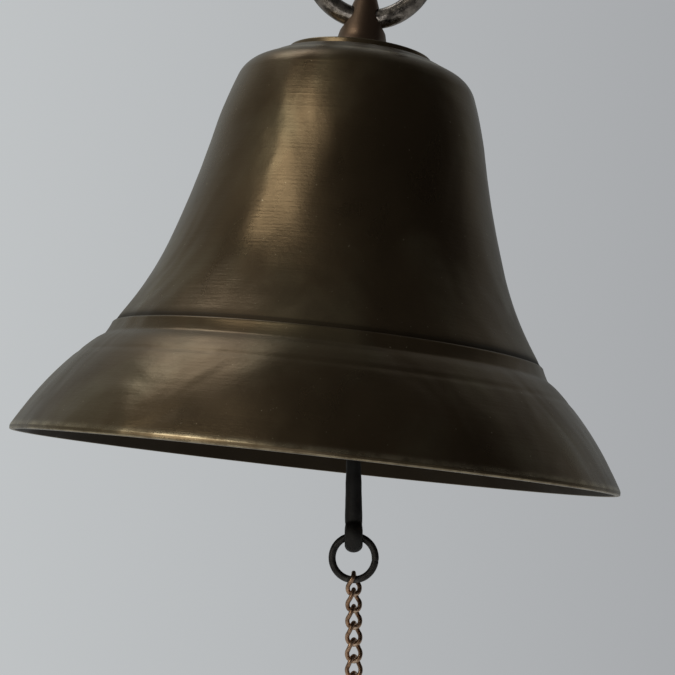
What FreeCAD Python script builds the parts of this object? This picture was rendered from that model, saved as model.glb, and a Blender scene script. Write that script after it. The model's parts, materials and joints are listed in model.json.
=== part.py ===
import FreeCAD, Part
import math
import os

import Sketcher
from FreeCAD import Placement, Rotation, Vector

# Sanctus bell: a cast bronze bell hung by a tapered lug from a welded steel ring.
# An iron clapper hangs inside it, and the clapper's tail comes out below the mouth
# and carries a pull ring and a twisted curb chain.
#
# Frame: millimetres, +Z up against gravity. The origin is the top of the hanging
# ring's inner edge, where the ring bears on its hook. The ring stands in the XZ
# plane. The bell leans in that plane: its axis passes through the ring's centre and
# its top leans towards +X. The clapper, the pull ring and the chain hang plumb.

DIMENSIONS = [
    # hanging ring and the bell's lean
    ("ring_radius", 19.5, "hanging ring, radius of the wire's centre line"),
    ("ring_wire", 3.5, "hanging ring, radius of the wire"),
    ("lean_angle", 6.3, "lean of the bell's axis from plumb, degrees"),
    # bell shell: heights are above the mouth, drops are below the crown's top
    ("mouth_radius", 100.0, "outer radius of the mouth"),
    ("bell_height", 137.9, "mouth to the top of the crown's disc"),
    ("rim_width", 2.0, "width of the flat under the lip"),
    ("rim_height", 1.6, "height of the lip's upright edge"),
    ("flare_bulge", 105.0, "radius of the flare's outward curve"),
    ("moulding_radius", 73.9, "radius at the foot of the moulding"),
    ("moulding_height", 34.6, "height of the foot of the moulding"),
    ("moulding_draw", 2.1, "taper of the moulding's face"),
    ("moulding_band", 3.9, "height of the moulding's face"),
    ("moulding_step", 0.6, "depth of the ledge above the moulding"),
    ("moulding_hollow", 0.4, "rise of the ledge above the moulding"),
    ("waist_low_curve", 110.0, "radius of the lower waist's hollow"),
    ("waist_mid_radius", 56.4, "radius half way up the waist"),
    ("waist_mid_height", 67.0, "height half way up the waist"),
    ("waist_high_curve", 345.0, "radius of the upper waist's hollow"),
    ("waist_top_radius", 45.2, "radius where the shoulder starts"),
    ("waist_top_drop", 28.8, "depth where the shoulder starts"),
    ("shoulder_low_curve", 150.0, "radius of the shoulder's lower round"),
    ("shoulder_radius", 40.3, "radius where the shoulder tightens"),
    ("shoulder_drop", 12.3, "depth where the shoulder tightens"),
    ("shoulder_high_curve", 10.8, "radius of the shoulder's upper round"),
    ("bevel_foot_radius", 34.4, "outer radius of the crown's bevel"),
    ("bevel_foot_drop", 5.9, "depth of the foot of the crown's bevel"),
    ("bevel_top_radius", 26.8, "inner radius of the crown's bevel"),
    ("disc_radius", 24.1, "radius of the raised disc on the crown"),
    ("disc_thickness", 2.3, "height of the raised disc"),
    ("crown_thickness", 6.7, "crown with its disc"),
    ("crown_inner_radius", 26.0, "flat inside the crown"),
    ("inner_shoulder_curve", 25.0, "radius of the round inside the shoulder"),
    ("waist_wall", 3.2, "wall of the waist, measured level"),
    ("bow_wall", 5.6, "wall at the moulding, measured level"),
    ("inner_flare_bulge", 190.0, "radius of the curve inside the flare"),
    # lug, crown washer, nut and staple
    ("clearance_gap", 0.25, "radial gap of a bolt in a plain hole"),
    ("thread_gap", 0.08, "radial gap that stands for a thread"),
    ("lug_washer_margin", 0.5, "red fibre washer beyond the lug's base"),
    ("lug_washer_thickness", 0.8, "red fibre washer under the lug"),
    ("lug_base_radius", 10.0, "lug at its seat"),
    ("lug_foot_height", 0.8, "upright foot of the lug"),
    ("lug_top_radius", 3.4, "lug where its dome starts"),
    ("lug_dome_height", 2.4, "height of the lug's dome"),
    ("lug_thread_depth", 5.6, "tapped hole in the lug's seat"),
    ("lug_hole_floor", 1.4, "metal between the tapped hole and the cross hole"),
    ("lug_hole_play", 1.1, "radial play of the hanging ring in the lug's cross hole"),
    ("lug_tip", 5.8, "metal above the cross hole"),
    ("shank_radius", 4.0, "staple's threaded shank"),
    ("shank_end_gap", 0.5, "shank's end below the bottom of the tapped hole"),
    ("washer_margin", 5.5, "washer under the crown nut, beyond the nut's flats"),
    ("washer_thickness", 1.6, "washer under the crown nut"),
    ("nut_wall", 2.5, "crown nut, shank to flat"),
    ("nut_thickness", 5.0, "crown nut"),
    ("staple_gap", 0.6, "staple's eye below the nut"),
    ("staple_wire", 2.0, "staple's eye, radius of the bar"),
    ("staple_play", 1.3, "radial play of the clapper's eye in the staple's eye"),
    # clapper
    ("hook_gap", 0.15, "gap between two eyes that hang on each other"),
    ("eye_wire", 1.9, "clapper's top eye, radius of the bar"),
    ("eye_play", 0.4, "radial play of the staple's eye in the clapper's eye"),
    ("rod_radius", 2.4, "clapper rod above the mouth"),
    ("tail_drop", 29.1, "tip of the tail below the centre of the mouth"),
    ("tail_length", 40.0, "thickened tail of the rod"),
    ("tail_half_width", 3.0, "half the tail's thickness across the front"),
    ("tail_eye_radius", 5.6, "outline of the tail's flattened eye"),
    ("tail_edge_flat", 0.7, "half the flat left between the tail eye's rounded rims"),
    ("tail_hole_play", 1.2, "radial play of the pull ring in the tail's eye"),
    ("tail_hole_stretch", 1.5, "length of the hole's straight part"),
    ("tail_hole_gap", 0.25, "gap of the pull ring at the mouths of the hole"),
    ("ball_radius", 16.5, "clapper ball"),
    ("ball_height", 30.0, "ball's centre above the centre of the mouth"),
    ("pin_radius", 1.2, "pin through the ball and the rod"),
    ("pin_inset", 0.6, "pin's ends inside the ball's surface"),
    ("fit_gap", 0.05, "radial gap of the rod and the pin in the ball"),
    # pull ring and end ring
    ("pull_ring_radius", 7.1, "pull ring, radius of the wire's centre line"),
    ("ring_link_play", 0.3, "play of the ring's wire in the width of a link"),
    ("pull_ring_turn", -5.0, "turn of the pull ring about plumb, degrees"),
    ("ring_link_gap", 0.3, "gap of an end link on the ring that it holds"),
    ("ring_link_turn", 55.0, "turn between a link and the ring that it holds, degrees"),
    # curb chain
    ("link_count", 24, "links in the chain"),
    ("link_pitch", 5.4, "pitch of the chain"),
    ("link_wire", 0.75, "radius of the chain's wire"),
    ("link_half_width", 2.25, "half the width of a link's centre line"),
    ("link_slope", 46.0, "slope of the wire half way down a link, degrees"),
    ("link_gap", 0.15, "gap between two links"),
    ("link_turn_step", 5.0, "turn from one link to the next, degrees"),
    ("link_turn_steps", 5, "links over which the chain turns"),
]

doc = FreeCAD.newDocument("SanctusBell")
sheet = doc.addObject("Spreadsheet::Sheet", "Sizes")
for row, (alias, number, meaning) in enumerate(DIMENSIONS, start=1):
    sheet.set("A%d" % row, alias)
    sheet.set("B%d" % row, str(number))
    sheet.set("C%d" % row, meaning)
    sheet.setAlias("B%d" % row, alias)
doc.recompute()

LEVEL = Vector(0, 0, 0)
UP = Vector(0, 0, 1)
ALONG_X = Vector(1, 0, 0)
ALONG_Y = Vector(0, 1, 0)

sub_parts = []


def size(name):
    """A driving dimension from the sheet."""
    return float(sheet.get(name))


def angle(name):
    """A driving dimension from the sheet, in radians."""
    return math.radians(size(name))


def total(terms):
    """The sum of named sizes; a leading minus subtracts one."""
    return sum(-size(t[1:]) if t.startswith("-") else size(t) for t in terms)


def formula(*terms):
    """The same sum as an expression on the sheet."""
    text = "0"
    for term in terms:
        text += (" - Sizes." if term.startswith("-") else " + Sizes.") + term.lstrip("-")
    return text


def bind(item, **expressions):
    """Bind properties of an object to expressions on the sheet."""
    for name, expression in expressions.items():
        item.setExpression(name, expression)
    return item


def finish(item, label, placement):
    """Name a finished sub-part and put it in its place."""
    item.Label = label
    item.Placement = placement
    sub_parts.append(item)
    return item


# --- sizes that follow from the pieces that fit together -----------------------

LUG_HOLE_RADIUS = ["ring_wire", "lug_hole_play"]
LUG_HOLE_HEIGHT = ["lug_thread_depth", "lug_hole_floor"] + LUG_HOLE_RADIUS
LUG_HEIGHT = LUG_HOLE_HEIGHT + LUG_HOLE_RADIUS + ["lug_tip"]
LUG_WASHER_RADIUS = ["lug_base_radius", "lug_washer_margin"]
NUT_FLAT = ["shank_radius", "nut_wall"]
WASHER_RADIUS = NUT_FLAT + ["washer_margin"]
STAPLE_RADIUS = ["staple_wire", "eye_wire", "staple_play"]
EYE_RADIUS = ["eye_wire", "staple_wire", "eye_play"]
PULL_RING_WIRE = ["link_half_width", "-link_wire", "-ring_link_play"]
TAIL_HOLE_RADIUS = PULL_RING_WIRE + ["tail_hole_play"]

# --- places worked out from the sizes ------------------------------------------

lean = angle("lean_angle")
bell_axis = Vector(math.sin(lean), 0, math.cos(lean))
ring_centre = Vector(0, 0, size("ring_wire") - size("ring_radius"))

lug_seat = size("bell_height") + size("lug_washer_thickness")
lug_taper = (size("lug_base_radius") - size("lug_top_radius")) / (
    total(LUG_HEIGHT) - size("lug_foot_height") - size("lug_dome_height"))
lug_hole_top = total(LUG_HOLE_HEIGHT + LUG_HOLE_RADIUS)
lug_half_width = size("lug_base_radius") - lug_taper * (
    lug_hole_top - size("lug_foot_height"))


def bearing_height(ring_radius, wire, half_width):
    """Height of the highest part of a ring's inner edge, within a half width of its
    lowest point, above the centre of its wire there. The same ring upside down hangs
    by this much."""
    inner = ring_radius - wire
    return wire + inner - math.sqrt(inner ** 2 - half_width ** 2)


# The lug hangs on the ring's wire by the top of its hole, at the hole's two mouths.
lug_hang = total(LUG_HOLE_RADIUS) - size("hook_gap") - bearing_height(
    size("ring_radius"), size("ring_wire"), lug_half_width)
hang_height = lug_seat + total(LUG_HOLE_HEIGHT) + lug_hang
hang_point = ring_centre - bell_axis * size("ring_radius")
mouth_centre = hang_point - bell_axis * hang_height
leaning = Placement(mouth_centre, Rotation(ALONG_Y, size("lean_angle")))

crown_underside = size("bell_height") - size("crown_thickness")
nut_underside = crown_underside - size("washer_thickness") - size("nut_thickness")
staple_height = (nut_underside - size("staple_gap")
                 - total(STAPLE_RADIUS) - size("staple_wire"))
shank_top = lug_seat + size("lug_thread_depth") - size("shank_end_gap")

# The clapper's eye hangs on the lowest point of the staple's eye.
staple_centre = mouth_centre + bell_axis * staple_height
clapper_pivot = staple_centre - UP * total(STAPLE_RADIUS)
tail_tip = clapper_pivot.z - (mouth_centre.z - size("tail_drop"))
ball_drop = clapper_pivot.z - (mouth_centre.z + size("ball_height"))
hanging = Placement(clapper_pivot, Rotation())

tail_hole_drop = tail_tip - size("tail_eye_radius")
pull_ring_hang = (tail_hole_drop + total(TAIL_HOLE_RADIUS) - size("tail_hole_gap")
                  - bearing_height(size("pull_ring_radius"), total(PULL_RING_WIRE),
                                   size("tail_half_width")))
pull_ring_top = clapper_pivot - UP * pull_ring_hang
pull_ring_bottom = pull_ring_top - UP * (2 * size("pull_ring_radius"))

link_reach = (size("link_pitch") + 2 * size("link_wire") + size("link_gap")) / 2
ring_link_reach = total(PULL_RING_WIRE) + size("link_wire") + size("ring_link_gap")
link_count = int(size("link_count"))
first_link_turn = size("pull_ring_turn") + size("ring_link_turn")
link_centres = []
link_turns = []
for number in range(link_count):
    drop = link_reach - ring_link_reach + number * size("link_pitch")
    steps = min(number, size("link_turn_steps"))
    link_centres.append(pull_ring_bottom - UP * drop)
    link_turns.append(first_link_turn - steps * size("link_turn_step"))
end_ring_top = link_centres[-1] - UP * (link_reach - ring_link_reach)
end_ring_turn = link_turns[-1] + size("ring_link_turn")


# --- sketches -------------------------------------------------------------------

def plane_of(body, role):
    """One of a body's own origin planes."""
    return [f for f in body.Origin.OriginFeatures if f.Role == role][0]


def new_sketch(body, name, role):
    sketch = body.newObject("Sketcher::SketchObject", name)
    sketch.AttachmentSupport = [(plane_of(body, role), "")]
    sketch.MapMode = "FlatFace"
    return sketch


def arc_through(start, end, radius, side):
    """Arc from start to end; side is +1 when its centre lies to the left of travel."""
    chord = end - start
    normal = Vector(-chord.y, chord.x, 0).normalize() * side
    centre = (start + end) / 2 + normal * math.sqrt(radius ** 2 - (chord.Length / 2) ** 2)
    first = math.atan2(start.y - centre.y, start.x - centre.x)
    last = math.atan2(end.y - centre.y, end.x - centre.x)
    circle = Part.Circle(centre, UP, radius)
    if side > 0:
        return Part.ArcOfCircle(circle, first, last)
    return Part.ArcOfCircle(circle, last, first)


def cap_radius(start, end):
    """Radius of the ball whose surface runs from start to end on the turning axis."""
    return (start.x ** 2 + (end.y - start.y) ** 2) / (2 * (end.y - start.y))


def draw_outline(sketch, corners, curves):
    """A closed outline. A corner is two lists of size names, for its two coordinates.
    curves maps a side's index to the name of its radius and to its centre's side.
    With no name, the centre lies on the turning axis."""
    points = [Vector(total(x), total(y), 0) for x, y in corners]
    ends = []
    for index, start in enumerate(points):
        end = points[(index + 1) % len(points)]
        if index in curves:
            radius, side = curves[index]
            shape = arc_through(
                start, end, size(radius) if radius else cap_radius(start, end), side)
            ends.append((1, 2) if side > 0 else (2, 1))
        else:
            shape = Part.LineSegment(start, end)
            ends.append((1, 2))
        sketch.addGeometry(shape, False)
    for index, (x, y) in enumerate(corners):
        before = index - 1 if index else len(corners) - 1
        here = (index, ends[index][0])
        sketch.addConstraint(Sketcher.Constraint(
            "Coincident", before, ends[before][1], *here))
        for kind, terms, axis in (("DistanceX", x, -2), ("DistanceY", y, -1)):
            if terms:
                added = sketch.addConstraint(Sketcher.Constraint(kind, *here, total(terms)))
                sketch.setExpression("Constraints[%d]" % added, formula(*terms))
            else:
                sketch.addConstraint(Sketcher.Constraint("PointOnObject", *here, axis))
    for index, (radius, side) in curves.items():
        if radius:
            added = sketch.addConstraint(Sketcher.Constraint("Radius", index, size(radius)))
            sketch.setExpression("Constraints[%d]" % added, formula(radius))
        else:
            sketch.addConstraint(Sketcher.Constraint("PointOnObject", index, 3, -2))


def draw_circle(sketch, terms, height=()):
    """A circle on the sketch's vertical axis, its centre at a height."""
    centre = Vector(0, total(height), 0)
    circle = sketch.addGeometry(Part.Circle(centre, UP, total(terms)), False)
    added = sketch.addConstraint(Sketcher.Constraint("Radius", circle, total(terms)))
    sketch.setExpression("Constraints[%d]" % added, formula(*terms))
    if height:
        sketch.addConstraint(Sketcher.Constraint("PointOnObject", circle, 3, -2))
        added = sketch.addConstraint(
            Sketcher.Constraint("DistanceY", circle, 3, total(height)))
        sketch.setExpression("Constraints[%d]" % added, formula(*height))
    else:
        sketch.addConstraint(Sketcher.Constraint("Coincident", circle, 3, -1, 1))


def revolve(body, sketch, name):
    turned = body.newObject("PartDesign::Revolution", name)
    turned.Profile = sketch
    turned.ReferenceAxis = (sketch, ["V_Axis"])
    turned.Angle = 360
    sketch.Visibility = False
    return turned


def pad(body, sketch, name, length):
    raised = body.newObject("PartDesign::Pad", name)
    raised.Profile = sketch
    return bind(raised, Length=formula(length))


# --- hanging ring ---------------------------------------------------------------

def make_hanging_ring():
    ring = doc.addObject("Part::Torus", "HangingRing")
    bind(ring, Radius1=formula("ring_radius"), Radius2=formula("ring_wire"))
    return finish(ring, "hanging_ring", Placement(ring_centre, Rotation(ALONG_X, 90)))


# --- bell shell -----------------------------------------------------------------

def make_bell_shell():
    """One casting: lip, flare, moulding, waist, shoulder and crown."""
    body = doc.addObject("PartDesign::Body", "BellShell")
    sketch = new_sketch(body, "BellProfile", "XZ_Plane")
    band_top = ["moulding_height", "moulding_band"]
    corners = [
        (["mouth_radius", "-rim_width"], []),
        (["mouth_radius"], []),
        (["mouth_radius"], ["rim_height"]),
        (["moulding_radius"], ["moulding_height"]),
        (["moulding_radius", "-moulding_draw"], band_top),
        (["moulding_radius", "-moulding_draw", "-moulding_step"],
         band_top + ["moulding_hollow"]),
        (["waist_mid_radius"], ["waist_mid_height"]),
        (["waist_top_radius"], ["bell_height", "-waist_top_drop"]),
        (["shoulder_radius"], ["bell_height", "-shoulder_drop"]),
        (["bevel_foot_radius"], ["bell_height", "-bevel_foot_drop"]),
        (["bevel_top_radius"], ["bell_height", "-disc_thickness"]),
        (["disc_radius"], ["bell_height", "-disc_thickness"]),
        (["disc_radius"], ["bell_height"]),
        (["shank_radius", "clearance_gap"], ["bell_height"]),
        (["shank_radius", "clearance_gap"], ["bell_height", "-crown_thickness"]),
        (["crown_inner_radius"], ["bell_height", "-crown_thickness"]),
        (["waist_top_radius", "-waist_wall"], ["bell_height", "-waist_top_drop"]),
        (["waist_mid_radius", "-waist_wall"], ["waist_mid_height"]),
        (["moulding_radius", "-bow_wall"], ["moulding_height"]),
    ]
    curves = {
        2: ("flare_bulge", 1),
        5: ("waist_low_curve", -1),
        6: ("waist_high_curve", -1),
        7: ("shoulder_low_curve", 1),
        8: ("shoulder_high_curve", 1),
        15: ("inner_shoulder_curve", -1),
        16: ("waist_high_curve", 1),
        17: ("waist_low_curve", 1),
        18: ("inner_flare_bulge", -1),
    }
    draw_outline(sketch, corners, curves)
    revolve(body, sketch, "BellCasting")
    return finish(body, "bell_shell", leaning)


# --- lug and its fastening ------------------------------------------------------

def make_crown_lug():
    """Tapered post with a cross hole for the ring and a tapped hole in its seat."""
    body = doc.addObject("PartDesign::Body", "CrownLug")
    sketch = new_sketch(body, "LugProfile", "YZ_Plane")
    corners = [
        ([], []),
        (["lug_base_radius"], []),
        (["lug_base_radius"], ["lug_foot_height"]),
        (["lug_top_radius"], LUG_HEIGHT + ["-lug_dome_height"]),
        ([], LUG_HEIGHT),
    ]
    draw_outline(sketch, corners, {3: (None, 1)})
    revolve(body, sketch, "LugTaper")
    doc.recompute()
    cross = new_sketch(body, "CrossHole", "YZ_Plane")
    draw_circle(cross, LUG_HOLE_RADIUS, LUG_HOLE_HEIGHT)
    hole = body.newObject("PartDesign::Pocket", "RingHole")
    hole.Profile = cross
    hole.Type = "ThroughAll"
    hole.Midplane = True
    doc.recompute()
    thread = new_sketch(body, "ThreadHole", "XY_Plane")
    draw_circle(thread, ["shank_radius", "thread_gap"])
    tapped = body.newObject("PartDesign::Pocket", "TappedHole")
    tapped.Profile = thread
    tapped.Reversed = True
    bind(tapped, Length=formula("lug_thread_depth"))
    seat = leaning.multiply(Placement(UP * lug_seat, Rotation()))
    return finish(body, "crown_lug", seat)


def make_washer(name, label, radius, thickness, height):
    """A flat ring on the staple's shank; radius is a list of size names."""
    body = doc.addObject("PartDesign::Body", name)
    sketch = new_sketch(body, name + "Outline", "XY_Plane")
    draw_circle(sketch, radius)
    draw_circle(sketch, ["shank_radius", "clearance_gap"])
    pad(body, sketch, name + "Plate", thickness)
    return finish(body, label, leaning.multiply(Placement(UP * height, Rotation())))


def make_crown_nut():
    """Hexagon nut that clamps the shell between the washer and the lug."""
    nut = doc.addObject("Part::Prism", "NutHexagon")
    nut.Polygon = 6
    bind(nut, Circumradius="(%s) / cos(30 deg)" % formula(*NUT_FLAT),
         Height=formula("nut_thickness"))
    bore = doc.addObject("Part::Cylinder", "NutBore")
    bind(bore, Radius=formula("shank_radius", "thread_gap"), Height=formula("nut_thickness"))
    tapped = doc.addObject("Part::Cut", "CrownNut")
    tapped.Base = nut
    tapped.Tool = bore
    place = leaning.multiply(Placement(UP * nut_underside, Rotation()))
    return finish(tapped, "crown_nut", place)


def make_staple():
    """Eye bolt inside the crown: a threaded shank with a round eye for the clapper."""
    eye = doc.addObject("Part::Torus", "StapleEye")
    bind(eye, Radius1=formula(*STAPLE_RADIUS), Radius2=formula("staple_wire"))
    eye.Placement = Placement(UP * staple_height, Rotation(ALONG_X, 90))
    root = staple_height + total(STAPLE_RADIUS)
    shank = doc.addObject("Part::Cylinder", "StapleShank")
    bind(shank, Radius=formula("shank_radius"))
    shank.Height = shank_top - root
    shank.Placement = Placement(UP * root, Rotation())
    bolt = doc.addObject("Part::MultiFuse", "ClapperStaple")
    bolt.Shapes = [eye, shank]
    return finish(bolt, "clapper_staple", leaning)


# --- clapper: each piece in the clapper's own frame, its pivot at the origin -----

def cylinder(name, radius, height, base, direction=UP):
    """A round bar from base along a direction; radius is a list of size names."""
    bar = doc.addObject("Part::Cylinder", name)
    bind(bar, Radius=formula(*radius))
    bar.Height = height
    bar.Placement = Placement(base, Rotation(UP, direction))
    return bar


def cut(name, base, tool):
    result = doc.addObject("Part::Cut", name)
    result.Base = base
    result.Tool = tool
    return result


def fuse(name, pieces):
    result = doc.addObject("Part::MultiFuse", name)
    result.Shapes = pieces
    return result


def make_clapper_rod():
    """Forged rod: top eye, round shaft, thicker tail and a flattened eye at its end."""
    eye_drop = size("eye_play") - size("hook_gap")
    eye = doc.addObject("Part::Torus", "RodEye")
    bind(eye, Radius1=formula(*EYE_RADIUS), Radius2=formula("eye_wire"))
    eye.Placement = Placement(UP * -eye_drop, Rotation(ALONG_Y, 90))

    shaft_top = eye_drop + total(EYE_RADIUS)
    tail_top = tail_tip - size("tail_length")
    shaft = cylinder("RodShaft", ["rod_radius"], tail_top - shaft_top, UP * -tail_top)

    tail = doc.addObject("Part::Cone", "RodTail")
    bind(tail, Radius1=formula("tail_half_width"), Radius2=formula("rod_radius"))
    tail.Height = tail_hole_drop - tail_top
    tail.Placement = Placement(UP * -tail_hole_drop, Rotation())

    hole_centre = UP * -tail_hole_drop
    width = 2 * size("tail_half_width")
    side = ALONG_X * size("tail_half_width")
    block = cylinder("TailBlock", ["tail_eye_radius"], width, hole_centre - side, ALONG_X)
    doc.recompute()
    eye_end = doc.addObject("Part::Fillet", "TailEye")
    eye_end.Base = block
    rims = [number for number, edge in enumerate(block.Shape.Edges, start=1)
            if edge.Curve.TypeId == "Part::GeomCircle"]
    rim_round = size("tail_half_width") - size("tail_edge_flat")
    eye_end.Edges = [(number, rim_round, rim_round) for number in rims]

    low = cylinder("TailHoleLow", TAIL_HOLE_RADIUS, width, hole_centre - side, ALONG_X)
    rise = UP * size("tail_hole_stretch")
    high = cylinder("TailHoleHigh", TAIL_HOLE_RADIUS, width,
                    hole_centre - side + rise, ALONG_X)
    middle = doc.addObject("Part::Box", "TailHoleMiddle")
    bind(middle, Length="2 * Sizes.tail_half_width",
         Width="2 * (%s)" % formula(*TAIL_HOLE_RADIUS), Height=formula("tail_hole_stretch"))
    middle.Placement = Placement(
        hole_centre - side - ALONG_Y * total(TAIL_HOLE_RADIUS), Rotation())
    slot = fuse("TailSlot", [low, high, middle])

    ball_centre = UP * -ball_drop
    pin_hole = cylinder("RodPinHole", ["pin_radius", "fit_gap"], 2 * size("ball_radius"),
                        ball_centre - ALONG_Y * size("ball_radius"), ALONG_Y)
    forged = fuse("RodForging", [eye, shaft, tail, eye_end])
    holes = fuse("RodHoles", [slot, pin_hole])
    return finish(cut("ClapperRod", forged, holes), "clapper_rod", hanging)


def make_clapper_ball():
    """Iron ball, bored for the rod and drilled for its pin."""
    centre = UP * -ball_drop
    reach = size("ball_radius")
    ball = doc.addObject("Part::Sphere", "BallCasting")
    bind(ball, Radius=formula("ball_radius"))
    ball.Placement = Placement(centre, Rotation())
    bore = cylinder("BallBore", ["rod_radius", "fit_gap"], 2 * reach, centre - UP * reach)
    pin_hole = cylinder("BallPinHole", ["pin_radius", "fit_gap"], 2 * reach,
                        centre - ALONG_Y * reach, ALONG_Y)
    holes = fuse("BallHoles", [bore, pin_hole])
    return finish(cut("ClapperBall", ball, holes), "clapper_ball", hanging)


def make_ball_pin():
    """Pin across the ball and the rod, its ends just inside the ball's surface."""
    half = size("ball_radius") - size("pin_inset")
    pin = doc.addObject("Part::Cylinder", "BallPin")
    bind(pin, Radius=formula("pin_radius"),
         Height="2 * (Sizes.ball_radius - Sizes.pin_inset)")
    base = clapper_pivot - UP * ball_drop - ALONG_Y * half
    return finish(pin, "ball_pin", Placement(base, Rotation(UP, ALONG_Y)))


# --- pull ring, chain and end ring ----------------------------------------------

def make_small_ring(name, label, top, turn):
    """A wire ring that hangs from the centre of its wire at the top."""
    ring = doc.addObject("Part::Torus", name)
    bind(ring, Radius1=formula("pull_ring_radius"), Radius2=formula(*PULL_RING_WIRE))
    centre = top - UP * size("pull_ring_radius")
    upright = Rotation(UP, turn).multiply(Rotation(ALONG_X, 90))
    return finish(ring, label, Placement(centre, upright))


def tangent_arc(start, tangent, end):
    """The arc from start to end that leaves start along a tangent."""
    chord = end - start
    along = Vector(chord).normalize()
    half_turn = tangent.getAngle(along)
    across = (tangent - along * tangent.dot(along)).normalize()
    bulge = chord.Length / 2 * math.tan(half_turn / 2)
    return Part.Arc(start, (start + end) / 2 + across * bulge, end).toShape()


def link_quarter():
    """A quarter of a curb link's centre line, as two arcs that meet in a tangent.
    It runs from half way down the link's side to the top of its end. The end lies
    at 45 degrees to the link's width, so the two ends are at right angles."""
    slope = angle("link_slope")
    side = Vector(size("link_half_width"), 0, 0)
    side_tangent = Vector(0, math.sin(slope), math.cos(slope))
    end = Vector(0, 0, link_reach)
    end_tangent = Vector(-1, -1, 0).normalize()
    gap = end - side
    both = side_tangent + end_tangent
    square = 4 - both.dot(both)
    lean_in = gap.dot(both)
    handle = (-lean_in + math.sqrt(lean_in ** 2 + square * gap.dot(gap))) / square
    first_corner = side + side_tangent * handle
    last_corner = end - end_tangent * handle
    meeting = (first_corner + last_corner) / 2
    middle_tangent = (last_corner - first_corner).normalize()
    return [tangent_arc(side, side_tangent, meeting),
            tangent_arc(meeting, middle_tangent, end)]


def tube_walls(edge):
    """The wall of a round wire along one arc, without its two end discs."""
    start = edge.valueAt(edge.FirstParameter)
    tangent = edge.tangentAt(edge.FirstParameter)
    section = Part.Wire([Part.makeCircle(size("link_wire"), start, tangent)])
    tube = Part.Wire([edge]).makePipeShell([section], False, False)
    return tube.Faces


def link_solid():
    """A twisted curb link: its quarter, turned about the link's three axes."""
    walls = []
    for edge in link_quarter():
        walls += tube_walls(edge)
    for axis in (ALONG_X, UP):
        turned = [wall.copy() for wall in walls]
        for wall in turned:
            wall.rotate(LEVEL, axis, 180)
        walls += turned
    skin = Part.makeShell(walls)
    skin.sewShape()
    solid = Part.makeSolid(skin)
    if solid.Volume < 0:
        solid.reverse()
    return solid


def make_chain():
    link = link_solid()
    for number, (centre, turn) in enumerate(zip(link_centres, link_turns), start=1):
        feature = doc.addObject("Part::Feature", "ChainLink%02d" % number)
        feature.Shape = link.copy()
        finish(feature, "chain_link_%02d" % number, Placement(centre, Rotation(UP, turn)))


# --- build, check and write -----------------------------------------------------

make_hanging_ring()
make_bell_shell()
make_crown_lug()
make_washer("LugWasher", "lug_washer", LUG_WASHER_RADIUS, "lug_washer_thickness",
            size("bell_height"))
make_washer("CrownWasher", "crown_washer", WASHER_RADIUS, "washer_thickness",
            crown_underside - size("washer_thickness"))
make_crown_nut()
make_staple()
make_clapper_rod()
make_clapper_ball()
make_ball_pin()
make_small_ring("PullRing", "pull_ring", pull_ring_top, size("pull_ring_turn"))
make_chain()
make_small_ring("EndRing", "end_ring", end_ring_top, end_ring_turn)
doc.recompute()

for item in doc.Objects:
    if "Invalid" in item.State or "Error" in item.State:
        raise RuntimeError("%s failed: %s" % (item.Name, item.State))
for item in sub_parts:
    if item.Shape.isNull() or not item.Shape.isValid() or len(item.Shape.Solids) != 1:
        raise RuntimeError("%s is not one sound solid" % item.Label)

os.makedirs("parts", exist_ok=True)
for item in sub_parts:
    item.Shape.exportStep("parts/%s.step" % item.Label)
    box = item.Shape.BoundBox
    print("%-16s %10.1f mm3  z %8.2f to %8.2f" % (
        item.Label, item.Shape.Volume, box.ZMin, box.ZMax))
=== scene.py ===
import json
import math

import bpy
import numpy as np
from mathutils import Matrix, Vector, noise


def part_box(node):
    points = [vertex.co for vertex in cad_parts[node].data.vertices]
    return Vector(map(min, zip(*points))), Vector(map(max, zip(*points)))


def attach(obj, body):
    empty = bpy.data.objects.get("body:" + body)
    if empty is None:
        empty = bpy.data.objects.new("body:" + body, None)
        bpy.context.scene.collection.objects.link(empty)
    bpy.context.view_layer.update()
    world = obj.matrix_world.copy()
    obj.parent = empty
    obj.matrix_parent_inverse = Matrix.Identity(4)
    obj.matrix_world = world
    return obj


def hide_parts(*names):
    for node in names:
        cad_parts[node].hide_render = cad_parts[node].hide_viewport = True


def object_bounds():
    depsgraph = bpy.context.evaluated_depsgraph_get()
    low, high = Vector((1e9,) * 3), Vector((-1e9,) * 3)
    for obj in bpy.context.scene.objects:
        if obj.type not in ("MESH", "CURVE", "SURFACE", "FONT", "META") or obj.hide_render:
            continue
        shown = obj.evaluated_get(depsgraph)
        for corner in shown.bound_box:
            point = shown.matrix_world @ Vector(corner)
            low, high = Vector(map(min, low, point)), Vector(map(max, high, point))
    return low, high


# Sanctus bell, as seen: a leaning bronze bell on a steel ring, its iron clapper's tail,
# a pull ring and a curb chain. Pieces are drawn in millimetres, in the frame's axes.

MM = 0.001

# bell casting: heights are above the mouth, drops are below the crown's top
MOUTH_RADIUS = 100.0
RIM_HEIGHT = 1.6
FLARE_BULGE = 105.0
MOULDING_RADIUS, MOULDING_HEIGHT = 73.9, 34.6
LEDGE_RADIUS, LEDGE_HEIGHT = 71.2, 38.9
WAIST_LOW_CURVE, WAIST_HIGH_CURVE = 110.0, 345.0
WAIST_MID = (56.4, 67.0)
WAIST_TOP_RADIUS, WAIST_TOP_DROP = 45.2, 28.8
SHOULDER_RADIUS, SHOULDER_DROP = 40.3, 12.3
SHOULDER_LOW_CURVE, SHOULDER_HIGH_CURVE = 150.0, 10.8
BEVEL_FOOT_RADIUS, BEVEL_FOOT_DROP = 34.4, 5.9
DISC_RADIUS, DISC_THICKNESS = 24.1, 2.3
CROWN_THICKNESS, CROWN_INNER_RADIUS = 6.7, 26.0
INNER_SHOULDER_CURVE, INNER_FLARE_BULGE = 25.0, 190.0
WAIST_WALL, BOW_WALL = 3.2, 5.6
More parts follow.
